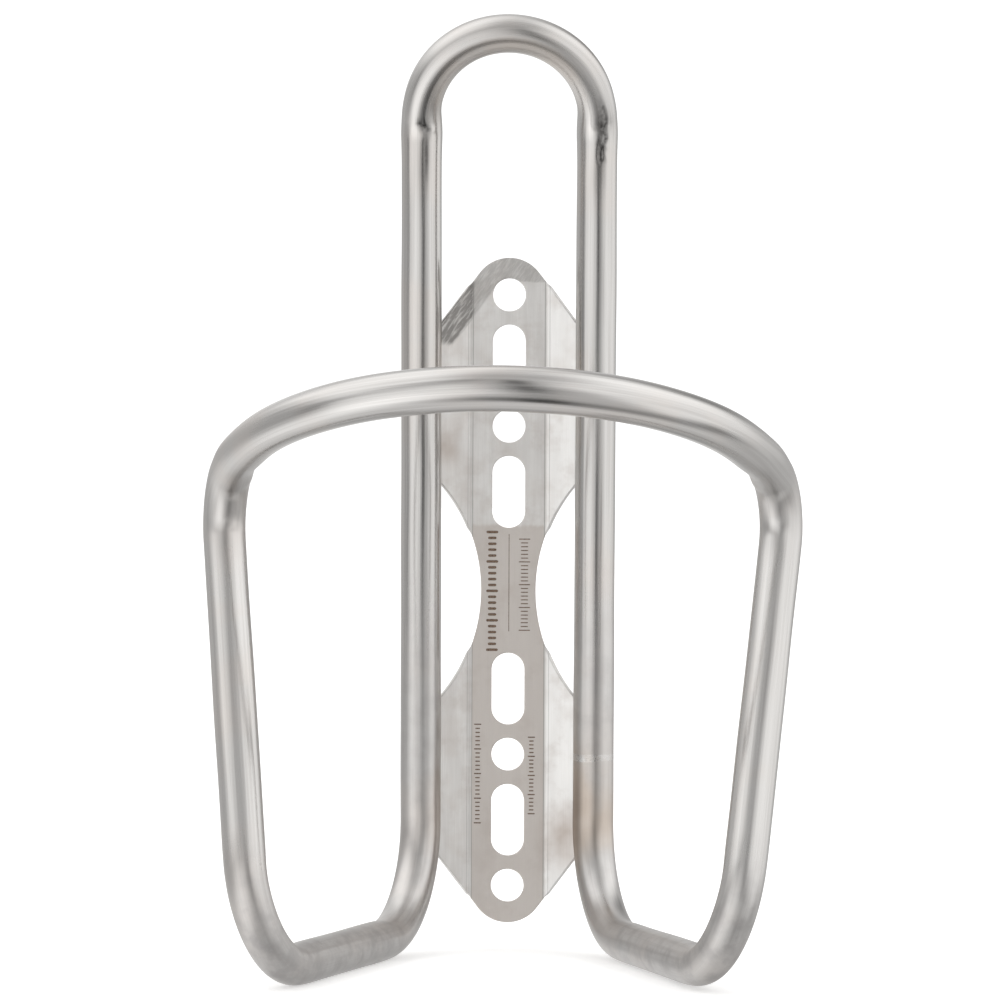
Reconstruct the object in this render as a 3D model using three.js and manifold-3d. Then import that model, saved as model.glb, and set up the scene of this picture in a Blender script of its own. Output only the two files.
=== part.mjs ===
// Water bottle cage: one bent titanium tube welded to a folded mounting plate.
// Millimetres, +Z up, -Y towards the bottle, +Y towards the bicycle frame, +X to the right when
// looking at the cage from the bottle's side. The origin is the middle of the plate's rear face,
// which is the face that rests on the bicycle frame.
import * as THREE from "three";
import { mergeVertices } from "three/addons/utils/BufferGeometryUtils.js";
import Module from "manifold-3d";

const wasm = await Module();
wasm.setup();

// ---------------------------------------------------------------- driving dimensions
const TUBE_DIAMETER = 6.35; // quarter inch tube
const TUBE_WALL = 0.41;
const BOTTLE_DIAMETER = 73.5; // the bottle touches both rails and the front arch
const CLEARANCE = 0.3; // kept between two pieces that the weld metal joins on the real cage

const RAIL_SETBACK = 4.4; // from the plate's rear face forward to the rails' centres
const RAIL_HALF_GAP_TOP = 13.78;
const RAIL_HALF_GAP_BOTTOM = 13.53;
const SEAT_HEIGHT = -53.35; // centre of the two seat tubes that the bottle stands on

const LOOP_KINK_HEIGHT = 72.45; // where the top loop starts to lean over the bottle's shoulder
const LOOP_LEAN = THREE.MathUtils.degToRad(24);
const LOOP_KINK_RADIUS = 10;
const LOOP_STRAIGHT = 2.2; // from the kink to the half circle at the top

const SEAT_CORNER = new THREE.Vector2(34.49, -72.18); // where a seat tube turns up into an upright
const RAIL_FOOT_RADIUS = 17.6;
const SEAT_CORNER_RADIUS = 11.7;
const UPRIGHT_TOP_RADIUS = 7.6;

const ARCH_FRONT_HEIGHT = 31.14;
const ARCH_RADIUS = 39.1;
const ARCH_TILT = THREE.MathUtils.degToRad(19.4); // the arch rises towards its front
const ARCH_HALF_SWEEP = THREE.MathUtils.degToRad(73.9);
const ARCH_END_STRAIGHT = 17.2; // from the end of the arc to the corner above the upright

const PLATE_THICKNESS = 1.0;
const HOLE_PITCH = 10.37; // holes and slots alternate at this pitch, clear of the plate's waist
const HOLE_RADIUS = 2.6; // clearance for an M5 bolt
const SLOT_LENGTH = 11.35;
const FOLD_HALF_WIDTH = 5.8; // half the width of the flat centre strip
const FOLD_ANGLE = THREE.MathUtils.degToRad(24);
const FOLD_INSIDE_RADIUS = 1.2;
const WING_HALF_WIDTH = 10.3; // the wings end beside the rails
const TIP_RADIUS = 5.85;
const TIP_HALF_ANGLE = THREE.MathUtils.degToRad(36.3);
const WAIST_HALF_WIDTH = 4.3;
const WAIST_RADIUS = 25.8;

const JOINT_HEIGHT = -26; // butt joint of the tube's two ends, low on the right rail
const JOINT_WELD_LENGTH = 1.0;
const PLUG_LENGTH = 16;
const PLUG_WALL = 0.45;

const BEAD_RADIUS = 1.4;
const BEAD_LENGTH = 6.5;
const BEAD_INSET = 1.6; // from the end of a wing to the end of its weld bead
const BEAD_CROWN = 0.3; // from the wing's rear face back to the middle of the bead

const TUBE_SIDES = 12;
const BEND_STEP = THREE.MathUtils.degToRad(9.5); // one ring of the tube for each step of a bend
const CLOSEST_RINGS = 0.3; // two bends that run into each other share one ring
const FOLD_STEPS = 3;
const OUTLINE_SEGMENTS = 9; // facets to one arc of the plate's outline or of a bolt hole
const BEAD_SIDES = 12;
const BEAD_CAP_SEGMENTS = 3;

// ---------------------------------------------------------------- worked-out dimensions
const tubeRadius = TUBE_DIAMETER / 2;
const boreRadius = tubeRadius - TUBE_WALL;
const bottleReach = BOTTLE_DIAMETER / 2 + tubeRadius;
const railHalfGap = (RAIL_HALF_GAP_TOP + RAIL_HALF_GAP_BOTTOM) / 2;
const bottleY = -RAIL_SETBACK - Math.sqrt(bottleReach ** 2 - railHalfGap ** 2);
const archFrontY = bottleY - bottleReach;
const slotRows = [1.5, 3.5].map((rows) => rows * HOLE_PITCH);
const holeRows = [2.5, 4.5].map((rows) => rows * HOLE_PITCH);
const tipRow = holeRows[1];
const waistX = WAIST_HALF_WIDTH + WAIST_RADIUS;

const titanium = { color: 0xc8c5c1, metalness: 1.0 };
const tubeFinish = new THREE.MeshStandardMaterial({ ...titanium, roughness: 0.32 });
const plateFinish = new THREE.MeshStandardMaterial({ ...titanium, roughness: 0.42 });
const weldFinish = new THREE.MeshStandardMaterial({ color: 0xb9b0a6, metalness: 1.0, roughness: 0.5 });

// ---------------------------------------------------------------- solids
// A closed three.js geometry as a manifold-3d solid.
function solidOf(geometry) {
  const bare = geometry.clone();
  bare.deleteAttribute("normal");
  bare.deleteAttribute("uv");
  const merged = mergeVertices(bare, 1e-4);
  return new wasm.Manifold(
    new wasm.Mesh({
      numProp: 3,
      vertProperties: new Float32Array(merged.attributes.position.array),
      triVerts: new Uint32Array(merged.index.array),
    }),
  );
}

function geometryOf(solid) {
  const { vertProperties, triVerts } = solid.getMesh();
  const geometry = new THREE.BufferGeometry();
  geometry.setAttribute("position", new THREE.BufferAttribute(vertProperties, 3));
  geometry.setIndex(new THREE.BufferAttribute(triVerts, 1));
  const faceted = geometry.toNonIndexed();
  faceted.computeVertexNormals();
  return faceted;
}

function namedMesh(name, geometry, material) {
  const mesh = new THREE.Mesh(geometry, material);
  mesh.name = name;
  return mesh;
}

// ---------------------------------------------------------------- the tube's centreline
// A line of straight stretches joined by circular bends, as a tube bender makes it. Each station
// is a point and a direction: one at each end of a straight, and one for each step of a bend.
class BentLine extends THREE.Curve {
  constructor(corners) {
    super();
    this.stations = [];
    const last = corners.length - 1;
    this.addStation(corners[0].at, corners[1].at.clone().sub(corners[0].at));
    for (let i = 1; i < last; i += 1) {
      this.addBend(corners[i - 1].at, corners[i], corners[i + 1].at);
    }
    this.addStation(corners[last].at, corners[last].at.clone().sub(corners[last - 1].at));
  }

  addStation(point, direction) {
    this.stations.push({ point: point.clone(), direction: direction.clone().normalize() });
  }

  addBend(before, { at, radius }, after) {
    const incoming = at.clone().sub(before).normalize();
    const outgoing = after.clone().sub(at).normalize();
    const turn = incoming.angleTo(outgoing);
    const start = at.clone().addScaledVector(incoming, -radius * Math.tan(turn / 2));
    const inwards = outgoing.clone().addScaledVector(incoming, -incoming.dot(outgoing)).normalize();
    const centre = start.clone().addScaledVector(inwards, radius);
    const steps = Math.ceil(turn / BEND_STEP);
    for (let step = 0; step <= steps; step += 1) {
      const angle = (turn * step) / steps;
      const point = centre
        .clone()
        .addScaledVector(incoming, radius * Math.sin(angle))
        .addScaledVector(inwards, -radius * Math.cos(angle));
      const direction = incoming
        .clone()
        .multiplyScalar(Math.cos(angle))
        .addScaledVector(inwards, Math.sin(angle));
      const previous = this.stations.at(-1).point;
      if (previous.distanceTo(point) > CLOSEST_RINGS) this.addStation(point, direction);
    }
  }

  stationAt(t) {
    return this.stations[Math.round(t * (this.stations.length - 1))];
  }

  getPoint(t, target = new THREE.Vector3()) {
    return target.copy(this.stationAt(t).point);
  }

  getTangent(t, target = new THREE.Vector3()) {
    return target.copy(this.stationAt(t).direction);
  }

  getUtoTmapping(u) {
    return u;
  }
}

function railX(height) {
  const rise = (height - SEAT_HEIGHT) / (LOOP_KINK_HEIGHT - SEAT_HEIGHT);
  return THREE.MathUtils.lerp(RAIL_HALF_GAP_BOTTOM, RAIL_HALF_GAP_TOP, rise);
}

function railPoint(height) {
  return new THREE.Vector3(railX(height), -RAIL_SETBACK, height);
}

// The bends on the right side, from the foot of the rail round to the front arch.
function lowerBends() {
  const archTurn = ARCH_RADIUS * Math.tan(ARCH_HALF_SWEEP / 2);
  const archCorner = new THREE.Vector3(archTurn, archFrontY, ARCH_FRONT_HEIGHT);
  const backwards = new THREE.Vector3(0, Math.cos(ARCH_TILT), -Math.sin(ARCH_TILT));
  const alongLeg = new THREE.Vector3(Math.cos(ARCH_HALF_SWEEP), 0, 0);
  alongLeg.addScaledVector(backwards, Math.sin(ARCH_HALF_SWEEP));
  const uprightTop = archCorner.clone().addScaledVector(alongLeg, archTurn + ARCH_END_STRAIGHT);
  return [
    { at: railPoint(SEAT_HEIGHT), radius: RAIL_FOOT_RADIUS },
    { at: new THREE.Vector3(SEAT_CORNER.x, SEAT_CORNER.y, SEAT_HEIGHT), radius: SEAT_CORNER_RADIUS },
    { at: uprightTop, radius: UPRIGHT_TOP_RADIUS },
    { at: archCorner, radius: ARCH_RADIUS },
  ];
}

// The bends on the right side, from the leaning half circle at the top down to the rail.
function upperBends() {
  const kink = railPoint(LOOP_KINK_HEIGHT);
  const leaning = new THREE.Vector3(0, -Math.sin(LOOP_LEAN), Math.cos(LOOP_LEAN));
  const crown = kink.clone().addScaledVector(leaning, LOOP_STRAIGHT + RAIL_HALF_GAP_TOP);
  return [
    { at: crown, radius: RAIL_HALF_GAP_TOP },
    { at: kink, radius: LOOP_KINK_RADIUS },
  ];
}

function mirrored(bends) {
  const flipped = bends.map(({ at, radius }) => {
    return { at: new THREE.Vector3(-at.x, at.y, at.z), radius };
  });
  return flipped.reverse();
}

// Once round the whole loop, from just under the butt joint to just over it.
function loopLine() {
  const halfOpening = JOINT_WELD_LENGTH / 2 + CLEARANCE;
  return new BentLine([
    { at: railPoint(JOINT_HEIGHT - halfOpening) },
    ...lowerBends(),
    ...mirrored(lowerBends()),
    ...mirrored(upperBends()),
    ...upperBends(),
    { at: railPoint(JOINT_HEIGHT + halfOpening) },
  ]);
}

function circlePath(PathClass, radius) {
  const path = new PathClass();
  for (let side = 0; side < TUBE_SIDES; side += 1) {
    const angle = (2 * Math.PI * side) / TUBE_SIDES;
    const move = side === 0 ? "moveTo" : "lineTo";
    path[move](radius * Math.cos(angle), radius * Math.sin(angle));
  }
  path.closePath();
  return path;
}

function sweptTube(outerRadius, innerRadius) {
  const line = loopLine();
  const section = circlePath(THREE.Shape, outerRadius);
  if (innerRadius > 0) section.holes.push(circlePath(THREE.Path, innerRadius));
  return new THREE.ExtrudeGeometry(section, { steps: line.stations.length - 1, extrudePath: line });
}

// ---------------------------------------------------------------- butt joint
// A ring turned about the rail's own line, centred on the butt joint.
function jointRing(innerRadius, outerRadius, length) {
  const profile = [
    new THREE.Vector2(innerRadius, -length / 2),
    new THREE.Vector2(outerRadius, -length / 2),
    new THREE.Vector2(outerRadius, length / 2),
    new THREE.Vector2(innerRadius, length / 2),
    new THREE.Vector2(innerRadius, -length / 2),
  ];
  const ring = new THREE.LatheGeometry(profile, 2 * TUBE_SIDES);
  const railDirection = railPoint(LOOP_KINK_HEIGHT).sub(railPoint(SEAT_HEIGHT)).normalize();
  const turn = new THREE.Quaternion().setFromUnitVectors(new THREE.Vector3(0, 1, 0), railDirection);
  const centre = railPoint(JOINT_HEIGHT);
  return ring.applyQuaternion(turn).translate(centre.x, centre.y, centre.z);
}

function jointPlug() {
  const flatsRadius = boreRadius * Math.cos(Math.PI / TUBE_SIDES);
  const outerRadius = flatsRadius - CLEARANCE;
  return jointRing(outerRadius - PLUG_WALL, outerRadius, PLUG_LENGTH);
}

// ---------------------------------------------------------------- mounting plate
// The heights where the side of a wing meets the pointed end and the waist, and the waist's half
// sweep, on a plate whose wings have the given half width.
function wingSide(halfWidth) {
  const tangentX = TIP_RADIUS * Math.cos(TIP_HALF_ANGLE);
  const tangentZ = tipRow + TIP_RADIUS * Math.sin(TIP_HALF_ANGLE);
  const outer = tangentZ - (halfWidth - tangentX) / Math.tan(TIP_HALF_ANGLE);
  const waistSweep = Math.acos((waistX - halfWidth) / WAIST_RADIUS);
  const inner = WAIST_RADIUS * Math.sin(waistSweep);
  return { outer, inner, waistSweep };
}

// The plate's outline as seen from the front: pointed ends, wings beside the rails, narrow waist.
function plateOutline(halfWidth) {
  const { outer, waistSweep } = wingSide(halfWidth);
  const outline = new THREE.Shape();
  outline.absarc(0, tipRow, TIP_RADIUS, TIP_HALF_ANGLE, Math.PI - TIP_HALF_ANGLE, false);
  outline.lineTo(-halfWidth, outer);
  outline.absarc(-waistX, 0, WAIST_RADIUS, waistSweep, -waistSweep, true);
  outline.lineTo(-halfWidth, -outer);
  outline.absarc(0, -tipRow, TIP_RADIUS, Math.PI + TIP_HALF_ANGLE, -TIP_HALF_ANGLE, false);
  outline.lineTo(halfWidth, -outer);
  outline.absarc(waistX, 0, WAIST_RADIUS, Math.PI + waistSweep, Math.PI - waistSweep, true);
  outline.lineTo(halfWidth, outer);
  outline.closePath();
  return outline;
}

function slotPath(row, halfStraight) {
  const path = new THREE.Path();
  path.absarc(0, row + halfStraight, HOLE_RADIUS, 0, Math.PI, false);
  path.absarc(0, row - halfStraight, HOLE_RADIUS, Math.PI, 2 * Math.PI, false);
  path.closePath();
  return path;
}

function boltOpenings() {
  const halfStraight = SLOT_LENGTH / 2 - HOLE_RADIUS;
  const bothEnds = (rows) => [...rows, ...rows.map((row) => -row)];
  return [
    ...bothEnds(slotRows).map((row) => slotPath(row, halfStraight)),
    ...bothEnds(holeRows).map((row) => slotPath(row, 0)),
  ];
}

// One face of the right half of the folded sheet, as seen along the cage: the fold, which has
// the given radius about a line in front of the plate, and then the wing out to x = reach.
function foldedFace(radius, reach) {
  const centreY = -PLATE_THICKNESS - FOLD_INSIDE_RADIUS;
  const points = [];
  for (let step = 0; step <= FOLD_STEPS; step += 1) {
    const angle = (FOLD_ANGLE * step) / FOLD_STEPS;
    const x = FOLD_HALF_WIDTH + radius * Math.sin(angle);
    points.push(new THREE.Vector2(x, centreY + radius * Math.cos(angle)));
  }
  const foldEnd = points.at(-1);
  points.push(new THREE.Vector2(reach, foldEnd.y - (reach - foldEnd.x) * Math.tan(FOLD_ANGLE)));
  return points;
}

// The sheet's cross-section, grown by the given margin. It runs out past the ends of the wings,
// which the outline cuts off.
function sheetProfile(margin) {
  const reach = WING_HALF_WIDTH + FOLD_HALF_WIDTH;
  const rear = foldedFace(FOLD_INSIDE_RADIUS + PLATE_THICKNESS + margin, reach);
  const front = foldedFace(FOLD_INSIDE_RADIUS - margin, reach);
  const flip = (point) => new THREE.Vector2(-point.x, point.y);
  return new THREE.Shape([
    ...front,
    ...rear.slice().reverse(),
    ...rear.map(flip),
    ...front.map(flip).reverse(),
  ]);
}

// The folded sheet, longer than the plate, cut to the outline seen from the front.
function plateSolid(margin = 0) {
  const sheetLength = 2 * (tipRow + TIP_RADIUS) + PLATE_THICKNESS;
  const sheet = new THREE.ExtrudeGeometry(sheetProfile(margin), {
    depth: sheetLength,
    bevelEnabled: false,
  });
  sheet.translate(0, 0, -sheetLength / 2);
  const outline = plateOutline(WING_HALF_WIDTH + margin);
  outline.holes.push(...boltOpenings());
  const cutDepth = 2 * RAIL_HALF_GAP_TOP;
  const cutter = new THREE.ExtrudeGeometry(outline, {
    depth: cutDepth,
    bevelEnabled: false,
    curveSegments: OUTLINE_SEGMENTS,
  });
  cutter.rotateX(Math.PI / 2).translate(0, cutDepth / 2, 0);
  return solidOf(sheet).intersect(solidOf(cutter));
}

// ---------------------------------------------------------------- plate welds
// A fillet of weld metal in the corner between a wing's rear face and the rail beside it.
function weldBead(side, height, rail, plate) {
  const straight = BEAD_LENGTH - 2 * BEAD_RADIUS;
  const bead = new THREE.CapsuleGeometry(BEAD_RADIUS, straight, BEAD_CAP_SEGMENTS, BEAD_SIDES);
  const cornerX = side * (WING_HALF_WIDTH + CLEARANCE);
  const cornerY = BEAD_CROWN - (WING_HALF_WIDTH - FOLD_HALF_WIDTH) * Math.tan(FOLD_ANGLE);
  bead.rotateX(Math.PI / 2).translate(cornerX, cornerY, height);
  return geometryOf(solidOf(bead).subtract(rail).subtract(plate));
}

function plateWelds() {
  const rail = solidOf(sweptTube(tubeRadius + CLEARANCE, 0));
  const plate = plateSolid(CLEARANCE);
  const { outer, inner } = wingSide(WING_HALF_WIDTH);
  const inset = BEAD_INSET + BEAD_LENGTH / 2;
  const heights = { outer: outer - inset, inner: inner + inset };
  const welds = [];
  for (const [sideName, side] of [["left", -1], ["right", 1]]) {
    for (const [halfName, half] of [["upper", 1], ["lower", -1]]) {
      for (const [endName, height] of Object.entries(heights)) {
        const name = `plate_weld_${halfName}_${sideName}_${endName}`;
        welds.push(namedMesh(name, weldBead(side, half * height, rail, plate), weldFinish));
      }
    }
  }
  return welds;
}

// ---------------------------------------------------------------- assembly
const cage = new THREE.Group();
cage.add(
  namedMesh("frame_tube", sweptTube(tubeRadius, boreRadius), tubeFinish),
  namedMesh("joint_weld", jointRing(boreRadius, tubeRadius, JOINT_WELD_LENGTH), weldFinish),
  namedMesh("joint_plug", jointPlug(), tubeFinish),
  namedMesh("mounting_plate", geometryOf(plateSolid()), plateFinish),
  ...plateWelds(),
);

export default cage;
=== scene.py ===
"""Water bottle cage: the visible pieces, their materials, the studio and the camera.

The shapes are worked out in millimetres in the part's own frame: +Z up, -Y towards the bottle,
origin in the middle of the plate's rear face. They become metres when a mesh is made.
"""

import math
from dataclasses import dataclass

import bpy
import numpy as np
from mathutils import Matrix, Vector, geometry


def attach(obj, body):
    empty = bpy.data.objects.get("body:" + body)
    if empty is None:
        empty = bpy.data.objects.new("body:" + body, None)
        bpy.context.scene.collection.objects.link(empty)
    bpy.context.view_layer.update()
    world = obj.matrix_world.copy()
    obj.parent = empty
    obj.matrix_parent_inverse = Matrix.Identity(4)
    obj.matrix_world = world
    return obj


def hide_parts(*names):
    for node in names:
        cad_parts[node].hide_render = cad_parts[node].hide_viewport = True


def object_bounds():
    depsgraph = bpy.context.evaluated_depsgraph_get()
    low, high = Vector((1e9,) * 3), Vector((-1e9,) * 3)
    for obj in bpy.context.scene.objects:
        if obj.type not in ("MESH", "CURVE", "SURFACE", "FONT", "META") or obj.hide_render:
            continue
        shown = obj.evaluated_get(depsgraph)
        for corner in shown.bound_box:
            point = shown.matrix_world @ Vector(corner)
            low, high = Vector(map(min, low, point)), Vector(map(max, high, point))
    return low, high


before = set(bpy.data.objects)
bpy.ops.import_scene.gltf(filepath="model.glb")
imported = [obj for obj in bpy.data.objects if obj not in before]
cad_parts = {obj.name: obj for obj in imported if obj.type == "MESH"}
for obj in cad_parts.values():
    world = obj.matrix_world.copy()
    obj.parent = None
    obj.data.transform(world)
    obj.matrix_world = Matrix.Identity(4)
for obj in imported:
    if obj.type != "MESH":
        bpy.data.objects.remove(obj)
cad_low, cad_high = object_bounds()

MM = 0.001

# -------- driving dimensions, mm
TUBE_RADIUS = 6.35 / 2
BOTTLE_RADIUS = 73.5 / 2
RAIL_SETBACK = 4.4
RAIL_HALF_GAP_TOP = 13.78
RAIL_HALF_GAP_BOTTOM = 13.53
SEAT_HEIGHT = -53.35
LOOP_KINK_HEIGHT = 72.45
LOOP_LEAN = math.radians(24)
LOOP_KINK_RADIUS = 10
LOOP_STRAIGHT = 2.2
SEAT_CORNER_X = 34.49
SEAT_CORNER_Y = -72.18
RAIL_FOOT_RADIUS = 17.6
SEAT_CORNER_RADIUS = 11.7
UPRIGHT_TOP_RADIUS = 7.6
ARCH_FRONT_HEIGHT = 31.14
ARCH_RADIUS = 39.1
ARCH_TILT = math.radians(19.4)
ARCH_HALF_SWEEP = math.radians(73.9)
ARCH_END_STRAIGHT = 17.2
RIGHT_SEAT_LIFT = 0.45  # the right seat corner was bent a little higher than the left one
RIGHT_SHOULDER_SHIFT = 0.3  # the right upright's top leans out a little, and the left one's in
LEFT_SHOULDER_SHIFT = -0.3

PLATE_THICKNESS = 1.0
HOLE_PITCH = 10.37
HOLE_RADIUS = 2.6
SLOT_LENGTH = 11.35
FOLD_HALF_WIDTH = 5.8
FOLD_ANGLE = math.radians(24)
FOLD_INSIDE_RADIUS = 1.2
WING_HALF_WIDTH = 10.9  # the wings reach into the weld beside the rails
TIP_RADIUS = 5.85
TIP_HALF_ANGLE = math.radians(36.3)
WAIST_HALF_WIDTH = 4.3
WAIST_RADIUS = 25.8
EDGE_ROUNDING = 0.14

JOINT_HEIGHT = -26
JOINT_LENGTH = 1.0

# -------- worked-out dimensions
bottle_reach = BOTTLE_RADIUS + TUBE_RADIUS
rail_half_gap = (RAIL_HALF_GAP_TOP + RAIL_HALF_GAP_BOTTOM) / 2
bottle_y = -RAIL_SETBACK - math.sqrt(bottle_reach**2 - rail_half_gap**2)
arch_front_y = bottle_y - bottle_reach
slot_rows = [rows * HOLE_PITCH for rows in (-3.5, -1.5, 1.5, 3.5)]
hole_rows = [rows * HOLE_PITCH for rows in (-4.5, -2.5, 2.5, 4.5)]
tip_row = hole_rows[-1]
waist_x = WAIST_HALF_WIDTH + WAIST_RADIUS


def unit(vector):
    return vector / np.linalg.norm(vector)


def round_angles(count):
    return [2 * math.pi * step / count for step in range(count)]


def bell(distance, width):
    return np.exp(-((distance / width) ** 2))


def smooth_step(value, low, high):
    t = np.clip((value - low) / (high - low), 0, 1)
    return t * t * (3 - 2 * t)


# -------- the tube's centreline
def rail_point(height):
    rise = (height - SEAT_HEIGHT) / (LOOP_KINK_HEIGHT - SEAT_HEIGHT)
    x = RAIL_HALF_GAP_BOTTOM + rise * (RAIL_HALF_GAP_TOP - RAIL_HALF_GAP_BOTTOM)
    return np.array([x, -RAIL_SETBACK, height])


def lower_bends(seat_lift=0.0, shoulder_shift=0.0):
    """The right side's bends, from the rail's foot round to the front arch.

    Each is a corner, a radius, and how much the bend squashed the tube towards its inside and
    widened it the other way, both as shares of the tube's radius.
    """
    arch_turn = ARCH_RADIUS * math.tan(ARCH_HALF_SWEEP / 2)
    arch_corner = np.array([arch_turn, arch_front_y, ARCH_FRONT_HEIGHT])
    backwards = np.array([0, math.cos(ARCH_TILT), -math.sin(ARCH_TILT)])
    sideways = np.array([math.cos(ARCH_HALF_SWEEP), 0, 0])
    along_leg = sideways + backwards * math.sin(ARCH_HALF_SWEEP)
    upright_top = arch_corner + along_leg * (arch_turn + ARCH_END_STRAIGHT)
    upright_top = upright_top + np.array([shoulder_shift, 0, 0])
    seat_corner = np.array([SEAT_CORNER_X, SEAT_CORNER_Y, SEAT_HEIGHT + seat_lift])
    return [
        (rail_point(SEAT_HEIGHT), RAIL_FOOT_RADIUS, 0.05, 0.01),
        (seat_corner, SEAT_CORNER_RADIUS, 0.08, -0.02),
        (upright_top, UPRIGHT_TOP_RADIUS, 0.05, 0.0),
        (arch_corner, ARCH_RADIUS, 0.04, 0.04),
    ]


def upper_bends():
    """The right side's bends, from the leaning half circle at the top down to the rail."""
    kink = rail_point(LOOP_KINK_HEIGHT)
    leaning = np.array([0, -math.sin(LOOP_LEAN), math.cos(LOOP_LEAN)])
    crown = kink + leaning * (LOOP_STRAIGHT + RAIL_HALF_GAP_TOP)
    return [(crown, RAIL_HALF_GAP_TOP, 0.055, 0.0), (kink, LOOP_KINK_RADIUS, 0.03, 0.035)]


def mirrored(bends):
    flip = np.array([-1, 1, 1])
    return [(corner * flip, *rest) for corner, *rest in reversed(bends)]


class BentLine:
    """A line of straights and circular bends, sampled at stations along its length."""

    STEP = 0.9
    FINE_STEP = 0.35
    BEND_ANGLE_STEP = math.radians(2.6)
    CREASED_RADIUS = 10  # bends this tight creased the tube, so the stations lie closer beside them
    CREASE_REACH = 7

    def __init__(self, start, bends, end):
        self.stations = []
        self.bends = []
        self.length = 0.0
        here = start
        corners = [start] + [bend[0] for bend in bends] + [end]
        creased = [False] + [bend[1] <= self.CREASED_RADIUS for bend in bends] + [False]
        for index, (corner, radius, squash, widen) in enumerate(bends):
            incoming = unit(corner - corners[index])
            outgoing = unit(corners[index + 2] - corner)
            turn = math.acos(np.clip(incoming @ outgoing, -1, 1))
            bend_start = corner - incoming * radius * math.tan(turn / 2)
            if (bend_start - here) @ incoming > 0.01:
                self.add_straight(here, bend_start, creased[index], creased[index + 1])
            here = self.add_bend(bend_start, incoming, outgoing, radius, turn)
            self.bends[-1] += (squash, widen)
        self.add_straight(here, end, creased[-2], creased[-1])
        self.stations.append((end, self.stations[-1][1], self.length))
        self.points, self.directions, self.lengths = map(np.array, zip(*self.stations))

    def add_straight(self, start, end, creased_before, creased_after):
        span = np.linalg.norm(end - start)
        direction = unit(end - start)
        fine_until = self.CREASE_REACH if creased_before else 0
        fine_from = span - (self.CREASE_REACH if creased_after else 0)
        steps = [0.0]
        while steps[-1] < span:
            fine = steps[-1] < fine_until or steps[-1] >= fine_from
            steps.append(steps[-1] + (self.FINE_STEP if fine else self.STEP))
        for travelled in np.array(steps[:-1]) * span / steps[-1]:
            point = start + direction * travelled
            self.stations.append((point, direction, self.length + travelled))
        self.length += span

    def add_bend(self, start, incoming, outgoing, radius, turn):
        inwards = unit(outgoing - incoming * (incoming @ outgoing))
        centre = start + inwards * radius
        span = radius * turn
        steps = math.ceil(span / min(self.STEP, radius * self.BEND_ANGLE_STEP))
        for step in range(steps):
            angle = turn * step / steps
            point = centre + radius * (incoming * math.sin(angle) - inwards * math.cos(angle))
            direction = incoming * math.cos(angle) + inwards * math.sin(angle)
            self.stations.append((point, direction, self.length + span * step / steps))
        normal = np.cross(incoming, inwards)
        self.bends.append((self.length, self.length + span, normal))
        self.length += span
        return centre + radius * (incoming * math.sin(turn) - inwards * math.cos(turn))

    def sideways(self):
        """One direction square to the line at each station, carried along without twisting."""
        carried = [unit(np.cross(self.directions[0], [0, 1, 0]))]
        for direction in self.directions[1:]:
            square = carried[-1] - direction * (carried[-1] @ direction)
            carried.append(unit(square))
        return np.array(carried)


def loop_line():
    """Once round the loop, from just under the butt joint to just over it."""
    half_joint = JOINT_LENGTH / 2
    bends = lower_bends(RIGHT_SEAT_LIFT, RIGHT_SHOULDER_SHIFT)
    bends += mirrored(lower_bends(0.0, LEFT_SHOULDER_SHIFT))
    bends += mirrored(upper_bends())
    bends += upper_bends()
    return BentLine(rail_point(JOINT_HEIGHT - half_joint), bends, rail_point(JOINT_HEIGHT + half_joint))


# -------- meshes
def make_piece(name, points, faces, material, replaced, normals=None):
    """A mesh piece in the part's frame, from points in millimetres."""
    mesh = bpy.data.meshes.new(name)
    mesh.from_pydata((np.asarray(points) * MM).tolist(), [], faces)
    mesh.materials.append(material)
    mesh.polygons.foreach_set("use_smooth", [True] * len(mesh.polygons))
    mesh.update()
    keep_caps_sharp(mesh)
    if normals is not None:
        mesh.normals_split_custom_set_from_vertices(np.asarray(normals).tolist())
    piece = bpy.data.objects.new(name, mesh)
    bpy.context.scene.collection.objects.link(piece)
    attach(piece, "root")
    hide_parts(*replaced)
    return piece


def keep_caps_sharp(mesh):
    """An end cap, the only kind of face with more than four corners, has sharp edges."""
    cap_edges = {key for face in mesh.polygons if len(face.vertices) > 4 for key in face.edge_keys}
    for edge in mesh.edges:
        edge.use_edge_sharp = edge.key in cap_edges


def add_attribute(piece, name, kind, values):
    attribute = piece.data.attributes.new(name, kind, "POINT")
    field = "vector" if kind == "FLOAT_VECTOR" else "value"
    attribute.data.foreach_set(field, np.asarray(values, dtype=np.float32).ravel())


def ring_faces(rings, sides, closed=False):
    """Quads between neighbouring rings of points, where ring r holds points r*sides onwards."""
    faces = []
    spans = rings if closed else rings - 1
    for ring in range(spans):
        here = ring * sides
        there = ((ring + 1) % rings) * sides
        for side in range(sides):
            after = (side + 1) % sides
            faces.append((here + side, here + after, there + after, there + side))
    return faces


def end_caps(rings, sides):
    first = tuple(reversed(range(sides)))
    last = tuple((rings - 1) * sides + side for side in range(sides))
    return [first, last]


# -------- frame tube
TUBE_SIDES = 96
BEND_FADE = 3.5


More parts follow.
